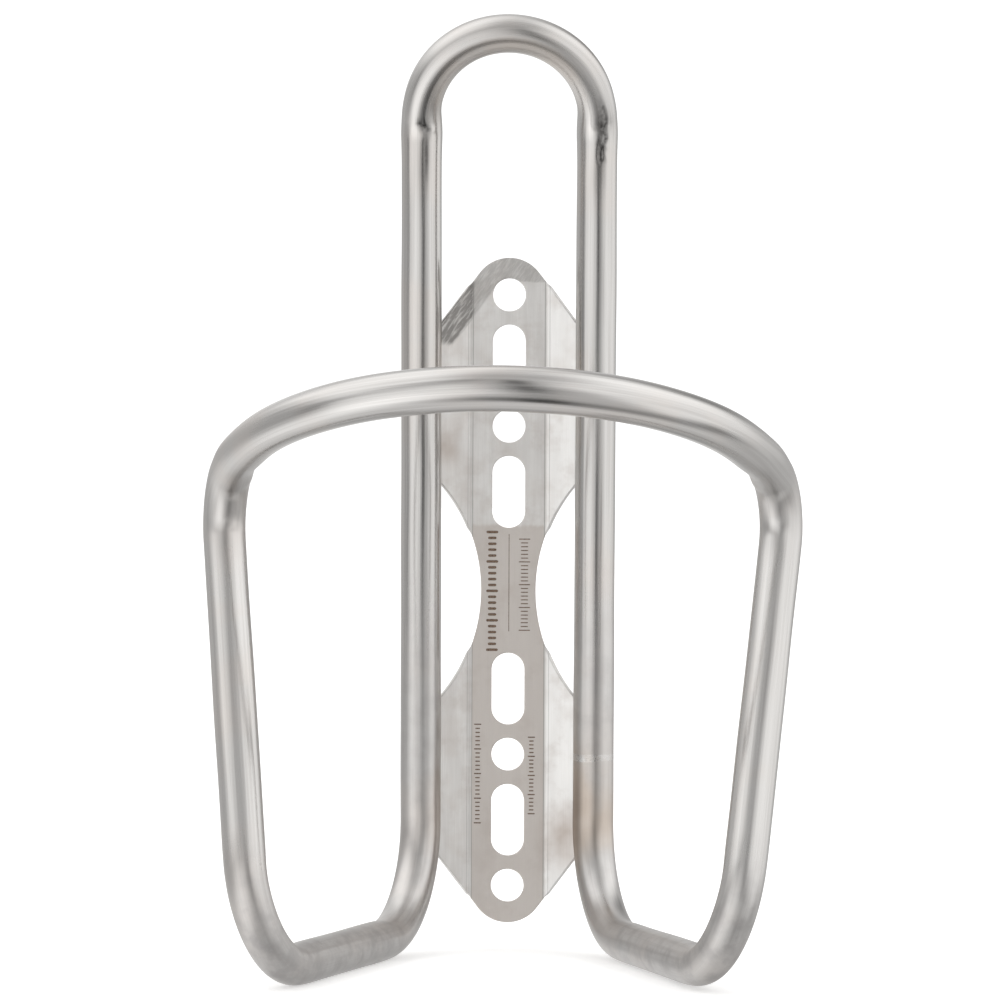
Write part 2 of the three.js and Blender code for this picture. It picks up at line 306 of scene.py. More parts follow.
@dataclass
class Dent:
    """A place pushed out of the tube, or into it where the height is negative.

    It is centred at a distance along the tube, on the side that faces a direction, and it is
    long one way and narrow the other. The slant turns its long way from the tube's own, in
    degrees. The last value is shade painted into the tube's colour over the dent, from 0 to 1,
    standing in for the shade in a crease.
    """

    place: float
    facing: tuple  # or an array
    height: float
    half_length: float
    half_width: float
    slant: float = 0.0
    # Shade painted into the colour over the dent, standing in for the shade in a crease.
    crease_shade: float = 0.0

    def shape(self, line, outward):
        """How much of the dent each point of the tube has, from 0 to 1."""
        facing = self.facing - line.directions * (line.directions @ self.facing)[:, None]
        facing /= np.linalg.norm(facing, axis=1)[:, None]
        beside = np.cross(line.directions, facing)
        turned = np.arctan2(
            np.einsum("rsk,rk->rs", outward, beside), np.einsum("rsk,rk->rs", outward, facing)
        )
        along = line.lengths[:, None] - self.place
        around = turned * TUBE_RADIUS
        slant = math.radians(self.slant)
        long_way = along * math.cos(slant) + around * math.sin(slant)
        short_way = around * math.cos(slant) - along * math.sin(slant)
        near = np.abs(along) < 4 * (self.half_length + self.half_width)
        return bell(long_way, self.half_length) * bell(short_way, self.half_width) * near


def bend_ovality(line, outward):
    """What each bend did to the tube's section."""
    change = np.zeros(outward.shape[:2])
    for start, end, normal, squash, widen in line.bends:
        inside = smooth_step(line.lengths, start - BEND_FADE, start + BEND_FADE)
        inside = inside * (1 - smooth_step(line.lengths, end - BEND_FADE, end + BEND_FADE))
        to_centre = np.cross(normal, line.directions)
        across = np.einsum("rsk,rk->rs", outward, to_centre)
        change += inside[:, None] * (widen * (1 - across**2) - squash * across**2)
    return change * TUBE_RADIUS


def rail_place(line, side, height):
    """The distance along the line to this height on one rail."""
    on_rail = np.abs(line.points - rail_point(height) * np.array([side, 1, 1]))
    return line.lengths[np.argmin(on_rail.sum(axis=1))]


def front_facing(degrees):
    """A direction turned from straight ahead towards +X."""
    angle = math.radians(degrees)
    return (math.sin(angle), -math.cos(angle), 0)


def kink_dents(line):
    """The creases on the front where the loop was bent forwards over the rails."""
    left = rail_place(line, -1, LOOP_KINK_HEIGHT)
    right = rail_place(line, 1, LOOP_KINK_HEIGHT)
    # The left rail runs upwards along the line and the right one downwards.
    dents = [Dent(place, front_facing(2), 0.24, 4.2, 2.8) for place in (left, right)]
    # Some of these dents also paint shade into the colour along the creases.
    dents += [
        Dent(left - 4.5, front_facing(3), -0.16, 5.5, 1.5),
        Dent(left - 4.0, front_facing(15), -0.04, 4.2, 0.30, crease_shade=0.7),
        Dent(left + 0.3, front_facing(30), 0.08, 0.6, 0.8, -15),
    ]
    for step in range(4):
        dents.append(
            Dent(left + 2.2 - 0.5 * step, front_facing(6.5 * step - 1), -0.07, 0.45, 0.45, crease_shade=0.8)
        )
    # A wavy crease down the right kink with shade painted into the colour beside it, and a rough lip under
    # it.
    dents.append(Dent(right - 1.6, front_facing(14), -0.02, 4.2, 0.85, crease_shade=0.97))
    dents.append(Dent(right + 2.8, front_facing(9), -0.02, 3.0, 0.6, crease_shade=0.85))
    for step in range(14):
        below = -4.4 + 0.7 * step
        wave = 20.5 + 4.2 * math.sin(1.65 * below - 0.25) - 5 * max(0, below - 2)
        dents.append(Dent(right + below, front_facing(wave), -0.08, 0.6, 0.40, crease_shade=1.0))
    dents.append(Dent(right + 3.0, front_facing(33), 0.06, 0.45, 0.7, 30))
    dents.append(Dent(right + 4.4, front_facing(28), 0.06, 0.40, 0.8, 60))
    dents.append(Dent(right + 7.5, front_facing(6), -0.14, 4.0, 1.4))
    return dents


def shoulder_dents(line):
    """Metal gathered on the inside of the two tight bends between the uprights and the arch."""
    dents = []
    for bend, gathered in ((2, 0.75), (5, 0.9)):
        start, end, normal = line.bends[bend][:3]
        middle = (start + end) / 2
        nearest = np.argmin(np.abs(line.lengths - middle))
        inside = np.cross(normal, line.directions[nearest])
        to_arch = 1 if bend == 2 else -1
        inner_edge = (-0.8 * to_arch, -0.35, -0.5)
        dents += [
            Dent(middle, inside, gathered, 5.6, 2.5),
            Dent(middle + to_arch * 11.5, (0.8 * to_arch, 0, 0.6), 0.42, 5.5, 4.0),
            Dent(middle + to_arch * 11.5, (-0.8 * to_arch, 0, -0.6), -0.50, 4.5, 4.0),
            Dent(middle + to_arch * 7.2, inner_edge, 0.14, 1.7, 1.2, 20 * to_arch),
            Dent(middle - to_arch * 9.0, inside, -0.08, 2.6, 1.6),
            Dent(middle, -inside, -0.18, 6.0, 2.6),
        ]
    return dents


def handling_waves(line, around):
    """Slow waves, a few hundredths of a millimetre deep, that a hand-bent tube has."""
    travelled = line.lengths[:, None]
    waves = 0.016 * np.sin(travelled / 5.3 + 2 * around)
    waves += 0.012 * np.sin(travelled / 8.9 + 1.7 - 2 * around)
    waves += 0.010 * np.sin(travelled / 3.1 + around)
    return waves


def heat_tint(points):
    """How much colour the weld heat left at each point, from 0 to 1."""
    tint = np.zeros(len(points))
    for side in (-1, 1):
        for height, strength in weld_heights():
            spot = np.array([side * WING_HALF_WIDTH, -2.4, height])
            away = np.linalg.norm((points - spot) * np.array([1, 1, 0.7]), axis=1)
            lower_right = 1.2 if side > 0 and height < -30 else 0.4
            tint += strength * lower_right * bell(away, 6.8)
    # The inner half of the loop at the top kept a faint warm colour.
    above = (points[:, 2] - LOOP_KINK_HEIGHT) / math.cos(LOOP_LEAN) - LOOP_STRAIGHT
    from_middle = np.hypot(points[:, 0], np.maximum(above, 0))
    loop_inside = smooth_step(RAIL_HALF_GAP_TOP - from_middle, -0.4, 1.6)
    loop_inside *= smooth_step(points[:, 2], LOOP_KINK_HEIGHT - 4, LOOP_KINK_HEIGHT + 4)
    return np.clip(tint + 0.34 * loop_inside, 0, 1)


def worn_share(points):
    """Tumbled and handled places: the seat tubes, the lower bends and the rails' lower halves."""
    low = 1 - smooth_step(points[:, 2], -50, -30)
    forward = smooth_step(-points[:, 1], 12, 30)
    feet = low * (0.35 + 0.65 * forward)
    lower_rails = (1 - smooth_step(points[:, 2], -25, 15)) * (1 - forward)
    return np.clip(feet + 0.55 * lower_rails * (1 - low), 0, 1)


def sanded_share(points):
    """The upright tops, sanded after bending, and more lightly the loop at the top."""
    shoulders = bell(points[:, 2] - 17, 11) * smooth_step(np.abs(points[:, 0]), 30, 39)
    return shoulders + 0.45 * smooth_step(points[:, 2], LOOP_KINK_HEIGHT, LOOP_KINK_HEIGHT + 9)


def frame_tube(material):
    line = loop_line()
    first = line.sideways()
    second = np.cross(line.directions, first)
    around = 2 * np.pi * np.arange(TUBE_SIDES) / TUBE_SIDES
    outward = np.cos(around)[None, :, None] * first[:, None, :]
    outward = outward + np.sin(around)[None, :, None] * second[:, None, :]
    radius = TUBE_RADIUS + bend_ovality(line, outward) + handling_waves(line, around[None, :])
    # creased holds the shade that the dents paint into the colour along the creases.
    creased = np.zeros_like(radius)
    for dent in kink_dents(line) + shoulder_dents(line):
        shape = dent.shape(line, outward)
        radius += dent.height * shape
        creased = np.maximum(creased, dent.crease_shade * shape)
    points = line.points[:, None, :] + radius[:, :, None] * outward
    rings = len(line.points)
    faces = ring_faces(rings, TUBE_SIDES) + end_caps(rings, TUBE_SIDES)
    flat = points.reshape(-1, 3)
    piece = make_piece("frame_tube_drawn", flat, faces, material, ["frame_tube"])
    along = np.empty((rings, TUBE_SIDES, 3))
    along[:, :, 0] = line.lengths[:, None]
    along[:, :, 1] = TUBE_RADIUS * np.cos(around)
    along[:, :, 2] = TUBE_RADIUS * np.sin(around)
    add_attribute(piece, "along", "FLOAT_VECTOR", along)
    add_attribute(piece, "tint", "FLOAT", heat_tint(flat))
    add_attribute(piece, "worn", "FLOAT", worn_share(flat))
    add_attribute(piece, "sanded", "FLOAT", sanded_share(flat))
    add_attribute(piece, "creased", "FLOAT", creased)
    return piece


# -------- joint weld
JOINT_SIDES = 72
JOINT_ROWS = 13
JOINT_CROWN = 0.026
JOINT_EDGE_SINK = 0.006
JOINT_INSIDE = 0.42  # how deep the ring's hidden inner face lies under the tube's surface


def joint_ring(material):
    """The ground butt weld: a low, slightly uneven band round the rail, sunk in at its edges."""
    half = JOINT_LENGTH * 0.75
    centre = rail_point(JOINT_HEIGHT)
    upwards = unit(rail_point(LOOP_KINK_HEIGHT) - rail_point(SEAT_HEIGHT))
    first = unit(np.cross(upwards, [0, 1, 0]))
    second = np.cross(upwards, first)
    lifts = [half * (2 * row / (JOINT_ROWS - 1) - 1) for row in range(JOINT_ROWS)]
    profile = [
        (lift, JOINT_CROWN * math.cos(math.pi / 2 * lift / half) - JOINT_EDGE_SINK) for lift in lifts
    ]
    profile += [(half, -JOINT_INSIDE), (-half, -JOINT_INSIDE)]
    points = []
    normals = []
    for lift, crown in profile:
        for angle in round_angles(JOINT_SIDES):
            uneven = 0.004 * math.sin(7 * angle) * math.cos(3 * angle)
            wander = 0.08 * math.sin(2 * angle) + 0.05 * math.sin(5 * angle)
            spoke = first * math.cos(angle) + second * math.sin(angle)
            points.append(centre + upwards * (lift + wander) + spoke * (TUBE_RADIUS + crown + uneven))
            normals.append(unit(spoke + upwards * 0.04 * lift / half))
    faces = ring_faces(len(profile), JOINT_SIDES, closed=True)
    return make_piece(
        "joint_weld_ground", points, faces, material, ["joint_weld"], normals
    )


# -------- mounting plate
ARC_STEP = 0.45
ROUNDING_STEPS = 4
FOLD_COLUMNS = 7


def arc(centre, radius, start, end):
    """Points on an arc, both ends included. It runs clockwise where end is less than start."""
    steps = max(2, math.ceil(abs(end - start) * radius / ARC_STEP))
    angles = np.linspace(start, end, steps + 1)
    return [np.array([centre[0] + radius * math.cos(a), centre[1] + radius * math.sin(a)]) for a in angles]


def wing_side():
    """Heights where a wing's side meets the pointed end and the waist, and the waist's half sweep."""
    tangent_x = TIP_RADIUS * math.cos(TIP_HALF_ANGLE)
    tangent_z = tip_row + TIP_RADIUS * math.sin(TIP_HALF_ANGLE)
    outer = tangent_z - (WING_HALF_WIDTH - tangent_x) / math.tan(TIP_HALF_ANGLE)
    sweep = math.acos((waist_x - WING_HALF_WIDTH) / WAIST_RADIUS)
    return outer, WAIST_RADIUS * math.sin(sweep), sweep


def plate_outline():
    outer, _, sweep = wing_side()
    tip = TIP_HALF_ANGLE
    points = arc((0, tip_row), TIP_RADIUS, tip, math.pi - tip)
    points.append(np.array([-WING_HALF_WIDTH, outer]))
    points += arc((-waist_x, 0), WAIST_RADIUS, sweep, -sweep)
    points.append(np.array([-WING_HALF_WIDTH, -outer]))
    points += arc((0, -tip_row), TIP_RADIUS, math.pi + tip, 2 * math.pi - tip)
    points.append(np.array([WING_HALF_WIDTH, -outer]))
    points += arc((waist_x, 0), WAIST_RADIUS, math.pi + sweep, math.pi - sweep)
    points.append(np.array([WING_HALF_WIDTH, outer]))
    return points


def slot_outline(row, half_straight):
    points = arc((0, row + half_straight), HOLE_RADIUS, 0, math.pi)
    points += arc((0, row - half_straight), HOLE_RADIUS, math.pi, 2 * math.pi)
    if half_straight == 0:
        points = points[:-1]
    return points


def without_repeats(points):
    kept = []
    for index, point in enumerate(points):
        if np.linalg.norm(point - points[index - 1]) > 1e-6:
            kept.append(point)
    return kept


def inset_loop(points, out_of_metal):
    """The loop moved into the metal by the edge rounding, with each point's outward direction."""
    points = without_repeats(points)
    loop = []
    for index, point in enumerate(points):
        before = unit(point - points[index - 1])
        after = unit(points[(index + 1) % len(points)] - point)
        normal = unit(np.array([before[1] + after[1], -before[0] - after[0]])) * out_of_metal
        loop.append((point - normal * EDGE_ROUNDING, normal))
    return loop


def split_at_columns(loop, columns):
    """Adds a point wherever the loop crosses one of the fold's columns."""
    result = []
    for index, (point, normal) in enumerate(loop):
        result.append((point, normal))
        next_point, next_normal = loop[(index + 1) % len(loop)]
        crossed = [x for x in columns if (point[0] - x) * (next_point[0] - x) < 0]
        for x in sorted(crossed, key=lambda x: abs(x - point[0])):
            share = (x - point[0]) / (next_point[0] - point[0])
            between = point + share * (next_point - point)
            result.append((np.array([x, between[1]]), unit(normal + share * (next_normal - normal))))
    return result


def sheet_at(x):
    """The sheet's front face at this x: its depth y, its front normal and its sideways tangent."""
    side = math.copysign(1, x)
    reach = abs(x) - FOLD_HALF_WIDTH
    centre_y = -PLATE_THICKNESS - FOLD_INSIDE_RADIUS
    fold_reach = FOLD_INSIDE_RADIUS * math.sin(FOLD_ANGLE)
    angle = 0 if reach < 0 else min(FOLD_ANGLE, math.asin(min(1, reach / FOLD_INSIDE_RADIUS)))
    y = centre_y + FOLD_INSIDE_RADIUS * math.cos(angle)
    y -= max(0, reach - fold_reach) * math.tan(FOLD_ANGLE)
    front = np.array([-side * math.sin(angle), -math.cos(angle), 0])
    tangent = np.array([math.cos(angle), -side * math.sin(angle), 0])
    return y, front, tangent


def on_sheet(point, depth):
    """A point of the sheet, this deep under the front face, in the part's frame."""
    y, front, _ = sheet_at(point[0])
    return np.array([point[0], y, point[1]]) - front * depth


def fold_columns():
    reach = FOLD_INSIDE_RADIUS * math.sin(FOLD_ANGLE)
    right = [FOLD_HALF_WIDTH + reach * step / (FOLD_COLUMNS - 1) for step in range(FOLD_COLUMNS)]
    return [-x for x in reversed(right)] + right


def triangulated(loops, columns):
    """Triangles over the metal between the loops, with an edge along each of the fold's columns."""
    flat = []
    edges = []
    for loop in loops:
        first = len(flat)
        flat += [Vector(point) for point, _ in loop]
        edges += [(first + i, first + (i + 1) % len(loop)) for i in range(len(loop))]
    for x in columns:
        crossing = [i for i, point in enumerate(flat) if abs(point.x - x) < 1e-4]
        crossing.sort(key=lambda i: flat[i].y)
        edges += list(zip(crossing[::2], crossing[1::2]))
    points, _, triangles, origins, _, _ = geometry.delaunay_2d_cdt(flat, edges, [], 1, 1e-7)
    origin = [ids[0] for ids in origins]
    kept = []
    for triangle in triangles:
        middle = sum((points[i] for i in triangle), Vector((0, 0))) / 3
        if not in_bolt_opening(middle):
            kept.append(tuple(origin[i] for i in triangle))
    return kept


def in_bolt_opening(point):
    """Whether the middle of a triangle of the flat face lies inside an opening's inset loop."""
    half_straight = SLOT_LENGTH / 2 - HOLE_RADIUS
    edge = HOLE_RADIUS + 0.9 * EDGE_ROUNDING
    for row in slot_rows:
        beyond = max(0, abs(point.y - row) - half_straight)
        if math.hypot(point.x, beyond) < edge:
            return True
    return any(math.hypot(point.x, point.y - row) < edge for row in hole_rows)


def edge_rings():
    """How the rounded edge runs from the front face to the rear one: (outward, depth, tilt)."""
    rings = []
    for step in range(ROUNDING_STEPS + 1):
        tilt = math.pi / 2 * step / ROUNDING_STEPS
        rings.append((EDGE_ROUNDING * math.sin(tilt), EDGE_ROUNDING * (1 - math.cos(tilt)), tilt))
    rear = [(out, PLATE_THICKNESS - depth, math.pi - tilt) for out, depth, tilt in reversed(rings)]
    return rings + rear


def mounting_plate(material):
    half_straight = SLOT_LENGTH / 2 - HOLE_RADIUS
    columns = fold_columns()
    loops = [split_at_columns(inset_loop(plate_outline(), 1), columns)]
    loops += [inset_loop(slot_outline(row, half_straight), -1) for row in slot_rows]
    loops += [inset_loop(slot_outline(row, 0), -1) for row in hole_rows]
    rim = [item for loop in loops for item in loop]
    points = []
    normals = []
    for outward, depth, tilt in edge_rings():
        for point, normal in rim:
            _, front, tangent = sheet_at(point[0])
            across = tangent * normal[0] + np.array([0, 0, normal[1]])
            points.append(on_sheet(point + normal * outward, depth))
            normals.append(unit(front * math.cos(tilt) + across * math.sin(tilt)))
    size = len(rim)
    triangles = triangulated(loops, columns)
    faces = list(triangles)
    last = (len(edge_rings()) - 1) * size
    faces += [tuple(last + i for i in reversed(triangle)) for triangle in triangles]
    for ring in range(len(edge_rings()) - 1):
        first = 0
        for loop in loops:
            count = len(loop)
            for i in range(count):
                here = ring * size + first
                there = here + size
                j = (i + 1) % count
                wall = (here + i, there + i, there + j, here + j)
                faces.append(wall if loop is loops[0] else wall[::-1])
            first += count
    return make_piece(
        "mounting_plate_folded", points, faces, material, ["mounting_plate"], normals
    )


# -------- etched marks
MARK_DEPTH = 0.012


def mark_box(points, faces, x, z, width, height):
    """A thin raised bar on the plate's flat front, with rounded ends along its long side."""
    first = len(points)
    radius = min(width, height) / 2
    corners = []
    for quarter in range(4):
        middle = math.pi / 4 + quarter * math.pi / 2
        centre_x = x + math.copysign(width / 2 - radius, math.cos(middle))
        centre_z = z + math.copysign(height / 2 - radius, math.sin(middle))
        for step in range(3):
            angle = quarter * math.pi / 2 + step * math.pi / 4
            round_the_end = np.array([math.cos(angle), math.sin(angle)])
            corners.append(np.array([centre_x, centre_z]) + radius * round_the_end)
    corners = without_repeats(corners)
    for y in (-PLATE_THICKNESS + MARK_DEPTH, -PLATE_THICKNESS - MARK_DEPTH):
        points += [np.array([corner_x, y, corner_z]) for corner_x, corner_z in corners]
    prism = ring_faces(2, len(corners)) + end_caps(2, len(corners))
    faces += [tuple(first + i for i in face) for face in prism]


def mark_column(points, faces, x, top, bottom, pitch, thickness, short, long, every):
    """A plain scale: short bars with a long one every so often."""
    steps = round((top - bottom) / pitch)
    for step in range(steps + 1):
        length = long if step % every == 0 else short
        mark_box(points, faces, x, top - step * pitch, length, thickness)


def etched_marks(material):
    """Plain scales and one divider line, in place of any lettering."""
    points = []
    faces = []
    mark_box(points, faces, 0.1, 1.2, 0.10, 15.4)
    mark_column(points, faces, -2.55, 9.2, -9.4, 0.93, 0.42, 1.35, 1.9, 5)
    mark_column(points, faces, 2.55, 8.1, -6.3, 0.60, 0.16, 1.15, 1.8, 6)
    mark_column(points, faces, -4.75, -21.2, -36.8, 0.65, 0.20, 0.75, 1.15, 6)
    mark_column(points, faces, 3.75, -23.2, -35.3, 0.605, 0.20, 0.75, 1.15, 5)
    piece = make_piece("etched_marks", points, faces, material, [])
    piece.data.polygons.foreach_set("use_smooth", [False] * len(piece.data.polygons))
    return piece


# -------- weld beads
BEAD_RADIUS = 1.45
BEAD_DEPTH_SHARE = 0.9
BEAD_LENGTH = 6.5
BEAD_INSET = 1.6
BEAD_PITCH = 0.85
BEAD_DEPTH = -1.38  # the beads' middle line, in y
BEAD_OFFSET = 0.15  # from a wing's side to the bead's middle line
BEAD_BLUNTNESS = 3.2
CRESCENT = 0.45
PUDDLE_SHARE = 0.06
BEAD_WANDER = 0.05
BEAD_RINGS = 64
BEAD_SIDES = 28


def weld_heights():
    """The middle height and the heat of each weld on one rail."""
    outer, inner, _ = wing_side()
    inset = BEAD_INSET + BEAD_LENGTH / 2
    return [
        (outer - inset, 0.75),
        (inner + inset, 0.55),
        (-inner - inset, 0.7),
        (-outer + inset, 1.0),
    ]


def weld_bead(name, side, height, material):
    """One bead of overlapping puddles in the corner behind a wing and its rail."""
    centre = np.array([side * (WING_HALF_WIDTH + BEAD_OFFSET), BEAD_DEPTH, height])
    points = []
    for ring in range(BEAD_RINGS):
        t = -1 + 2 * (ring + 0.5) / BEAD_RINGS
        body = (1 - abs(t) ** BEAD_BLUNTNESS) ** 0.5
        z = t * BEAD_LENGTH / 2
        wobble = BEAD_WANDER * math.sin(2.3 * z + side)
        for angle in round_angles(BEAD_SIDES):
            crescent = z + CRESCENT * math.cos(angle - math.pi / 2)
            puddle = abs(math.sin(math.pi * crescent / BEAD_PITCH))
            radius = BEAD_RADIUS * body * (1 - PUDDLE_SHARE + PUDDLE_SHARE * puddle)
            x = (radius + wobble) * math.cos(angle)
            y = radius * BEAD_DEPTH_SHARE * math.sin(angle)
            points.append(centre + np.array([x, y, z]))
    faces = ring_faces(BEAD_RINGS, BEAD_SIDES) + end_caps(BEAD_RINGS, BEAD_SIDES)
    return make_piece(f"{name}_bead", points, faces, material, [name])


def weld_beads(material):
    ends = ("outer", "inner", "inner", "outer")
    halves = ("upper", "upper", "lower", "lower")
    for side_name, side in (("left", -1), ("right", 1)):
        for end, half, (height, _) in zip(ends, halves, weld_heights()):
            weld_bead(f"plate_weld_{half}_{side_name}_{end}", side, height, material)


# -------- materials
class Nodes:
    """Short calls that add a node to a tree and return its output socket."""

    def __init__(self, tree):
        self.tree = tree

    def node(self, kind, inputs, output=0, **settings):
        """Adds a node, links or sets its inputs, and leaves out those that are None."""
        made = self.tree.nodes.new(kind)
        for key, value in settings.items():
            setattr(made, key, value)
        for name, value in inputs.items():
            self.feed(made.inputs[name], value)
        return made.outputs[output]

    def feed(self, socket, value):
        if isinstance(value, bpy.types.NodeSocket):
            self.tree.links.new(value, socket)
        elif value is not None:
            socket.default_value = value

    def math(self, operation, first, second=0.0):
        return self.node("ShaderNodeMath", {0: first, 1: second}, operation=operation)

    def times(self, first, second):
        return self.math("MULTIPLY", first, second)

    def plus(self, first, second):
        return self.math("ADD", first, second)

    def vector_math(self, operation, first, second, output=0):
        return self.node("ShaderNodeVectorMath", {0: first, 1: second}, output, operation=operation)

    def ranged(self, value, low, high, to_low=0.0, to_high=1.0):
        """The value smoothly carried from one range to the other, and held at its ends."""
        inputs = dict(enumerate((value, low, high, to_low, to_high)))
        return self.node("ShaderNodeMapRange", inputs, interpolation_type="SMOOTHSTEP")


class Finish(Nodes):
    """A procedural metal that starts with one colour. Places and lengths are in millimetres."""

    def __init__(self, name, colour):
        self.material = bpy.data.materials.new(name)
        self.material.use_nodes = True
        super().__init__(self.material.node_tree)
        self.colour = colour
        self.normal = None

    def attribute(self, name, field="Fac"):
        return self.node("ShaderNodeAttribute", {}, field, attribute_name=name)

    def position(self):
        raw = self.node("ShaderNodeTexCoord", {}, "Object")
        return self.scaled(raw, (1 / MM, 1 / MM, 1 / MM))

    def scaled(self, vector, factors):
        return self.vector_math("MULTIPLY", vector, factors)

    def distance(self, vector, place):
        return self.vector_math("DISTANCE", vector, place, "Value")

    def axes(self, vector):
        return self.node("ShaderNodeSeparateXYZ", {0: vector}, slice(0, 3))

    def noise(self, vector, scale=1.0, detail=2.0, roughness=0.5):
        inputs = {"Vector": vector, "Scale": scale, "Detail": detail, "Roughness": roughness}
        return self.node("ShaderNodeTexNoise", inputs, "Fac")

    def paint(self, share, colour):
        """Mixes this share of another colour over what is there."""
        inputs = {"Factor": share, "A": self.colour, "B": colour}
        self.colour = self.node("ShaderNodeMix", inputs, "Result", data_type="RGBA")

    def emboss(self, height, depth):
        """Adds a relief to the surface's normal."""
        inputs = {"Strength": 1.0, "Distance": depth * MM, "Height": height, "Normal": self.normal}
        self.normal = self.node("ShaderNodeBump", inputs, "Normal")

    def finished(self, roughness):
        sockets = self.tree.nodes["Principled BSDF"].inputs
        sockets["Metallic"].default_value = 1.0
        self.feed(sockets["Base Color"], self.colour)
        self.feed(sockets["Roughness"], roughness)
        self.feed(sockets["Normal"], self.normal)
        return self.material


def rgb(red, green, blue):
    return (red, green, blue, 1.0)


TITANIUM = rgb(0.58, 0.57, 0.56)
TITANIUM_DARK = rgb(0.50, 0.488, 0.478)
TITANIUM_WARM = rgb(0.575, 0.54, 0.515)
TITANIUM_WORN = rgb(0.42, 0.405, 0.40)
# Painted shade, nearly black, for the creases.
TITANIUM_CREASE_SHADE = rgb(0.05, 0.048, 0.046)
SHEET = rgb(0.82, 0.81, 0.795)
SHEET_DARK = rgb(0.70, 0.685, 0.67)
SHEET_WARM = rgb(0.62, 0.575, 0.54)
SHEET_STAINED = rgb(0.52, 0.465, 0.43)
# Painted highlight for the right wing.
SHEET_PAINTED_HIGHLIGHT = rgb(0.93, 0.93, 0.925)
# Painted shade for the plate's top end and left band, and the colour of the press lines.
SHEET_SHADE_AND_PRESS_LINES = rgb(0.28, 0.27, 0.26)
STRAW = rgb(0.50, 0.42, 0.35)
BRONZE = rgb(0.34, 0.255, 0.20)
ETCHED = rgb(0.11, 0.075, 0.055)


def tube_material():
    """Drawn titanium tube: lines along it, warm patches, heat tint, worn and sanded places, and painted
    shade along the creases.
    """
    finish = Finish("drawn_titanium", TITANIUM_DARK)
    along = finish.attribute("along", "Vector")
    place = finish.position()
    fine = finish.noise(finish.scaled(along, (0.025, 5, 5)), detail=2, roughness=0.6)
    coarse = finish.noise(finish.scaled(along, (0.02, 1.5, 1.5)), detail=3, roughness=0.6)
    patches = finish.noise(place, scale=0.09, detail=3)
    grain = finish.noise(place, scale=1.6, detail=4, roughness=0.6)
    tint, worn, sanded, creased = map(finish.attribute, ("tint", "worn", "sanded", "creased"))
    finish.paint(finish.ranged(coarse, 0.32, 0.6), TITANIUM)
    finish.paint(finish.ranged(patches, 0.45, 0.7, 0, 0.6), TITANIUM_WARM)
    finish.paint(finish.ranged(fine, 0.5, 0.7, 0.0, 0.5), TITANIUM_DARK)
    blotches = finish.noise(place, scale=0.28, detail=5, roughness=0.62)
    stained = finish.times(worn, finish.ranged(blotches, 0.38, 0.70, 0.12, 0.85))
    finish.paint(stained, TITANIUM_WORN)
    # Painted shade along the creases, with its edge broken up by the grain.
    rough_edge = finish.ranged(grain, 0.3, 0.6, 0.7, 1.0)
    finish.paint(finish.times(creased, rough_edge), TITANIUM_CREASE_SHADE)
    tint_broken = finish.times(tint, finish.ranged(patches, 0.3, 0.6, 0.5, 1.0))
    finish.paint(finish.ranged(tint_broken, 0.12, 0.6, 0, 0.7), STRAW)
    finish.paint(finish.ranged(tint_broken, 0.5, 1.0, 0, 0.6), BRONZE)
    roughness = finish.ranged(coarse, 0.3, 0.7, 0.17, 0.26)
    roughness = finish.plus(roughness, finish.times(worn, 0.26))
    roughness = finish.plus(roughness, finish.times(sanded, 0.20))
    finish.emboss(coarse, 0.015)
    finish.emboss(fine, 0.003)
    finish.emboss(grain, 0.004)
    return finish.finished(roughness)


STRIP_SHADE_TOP = 11.0  # the painted shade on the flat strip ends a little above this height
STRIP_SHADE_SHARE = 0.85
BAND_WIDTH = 3.6  # the band of painted shade along the left slanting edge
BAND_BOTTOM = 39.0
SHADE_ABOVE_TIP_ROW = 2.3
FOLD_LINES = ((-0.12, 0.6), (0.62, 0.35))  # each line's place outside the fold, and its strength
HEAT_SPOTS = (((-9.9, -2.6, 22.5), 3.4, 0.5), ((10.2, -2.6, -39), 7.5, 0.9))


